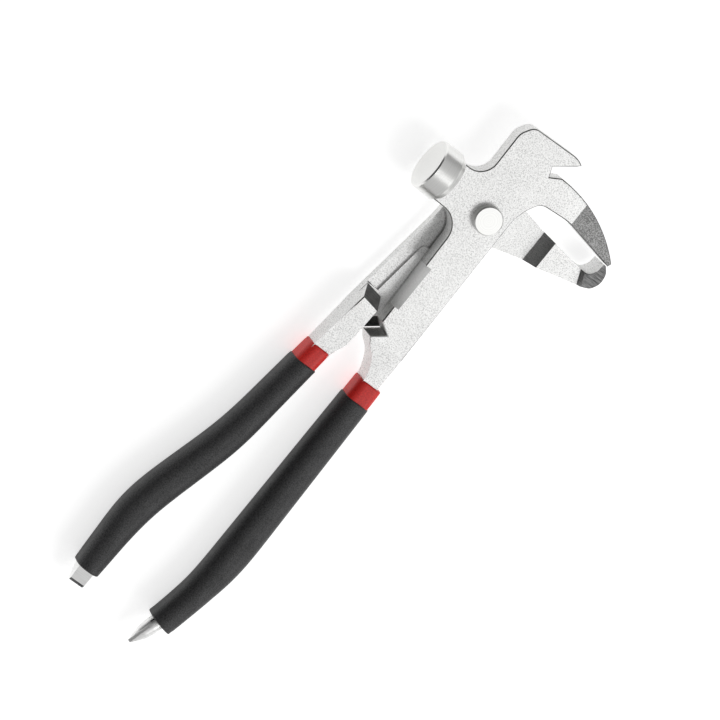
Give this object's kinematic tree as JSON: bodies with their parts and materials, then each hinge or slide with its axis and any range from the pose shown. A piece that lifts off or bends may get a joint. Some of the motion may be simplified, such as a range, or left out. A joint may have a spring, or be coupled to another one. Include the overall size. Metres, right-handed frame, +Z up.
{
  "type": "wheel weight pliers",
  "caption": "Lap-joint pliers with curved weight-gripping jaws, claw, striking head, side cutters, dipped grips and a pry blade and cross tip on the handle ends.",
  "frame": {"origin": "middle of the closed tool's length and width, at the level of its lowest point as it lies on its back", "axes": "+Z up, along the pivot axis towards the side the rivet head is on; +Y along the handles towards the claw; +X towards the jaws, away from the striking head"},
  "size_m": [0.0906, 0.239, 0.02],
  "materials": {
    "plated_forging": "satin nickel plate over a blasted forging",
    "turned_steel": "turned and polished, plated",
    "red_dip": "smooth dipped vinyl",
    "black_dip": "matte dipped vinyl with a fine grain"
  },
  "bodies": {
    "front": {"front_half": "plated_forging", "striker": "turned_steel", "pivot_rivet": "turned_steel", "front_inner_sleeve": "red_dip", "front_grip": "black_dip"},
    "rear": {"rear_half": "plated_forging", "rear_inner_sleeve": "red_dip", "rear_grip": "black_dip"}
  },
  "joints": [
    {"name": "pivot", "type": "hinge", "parent": "front", "child": "rear", "pos_m": [-0.00519, 0.08221, 0.0076], "axis": [0, 0, -1], "range_deg": [0, 32]}
  ]
}
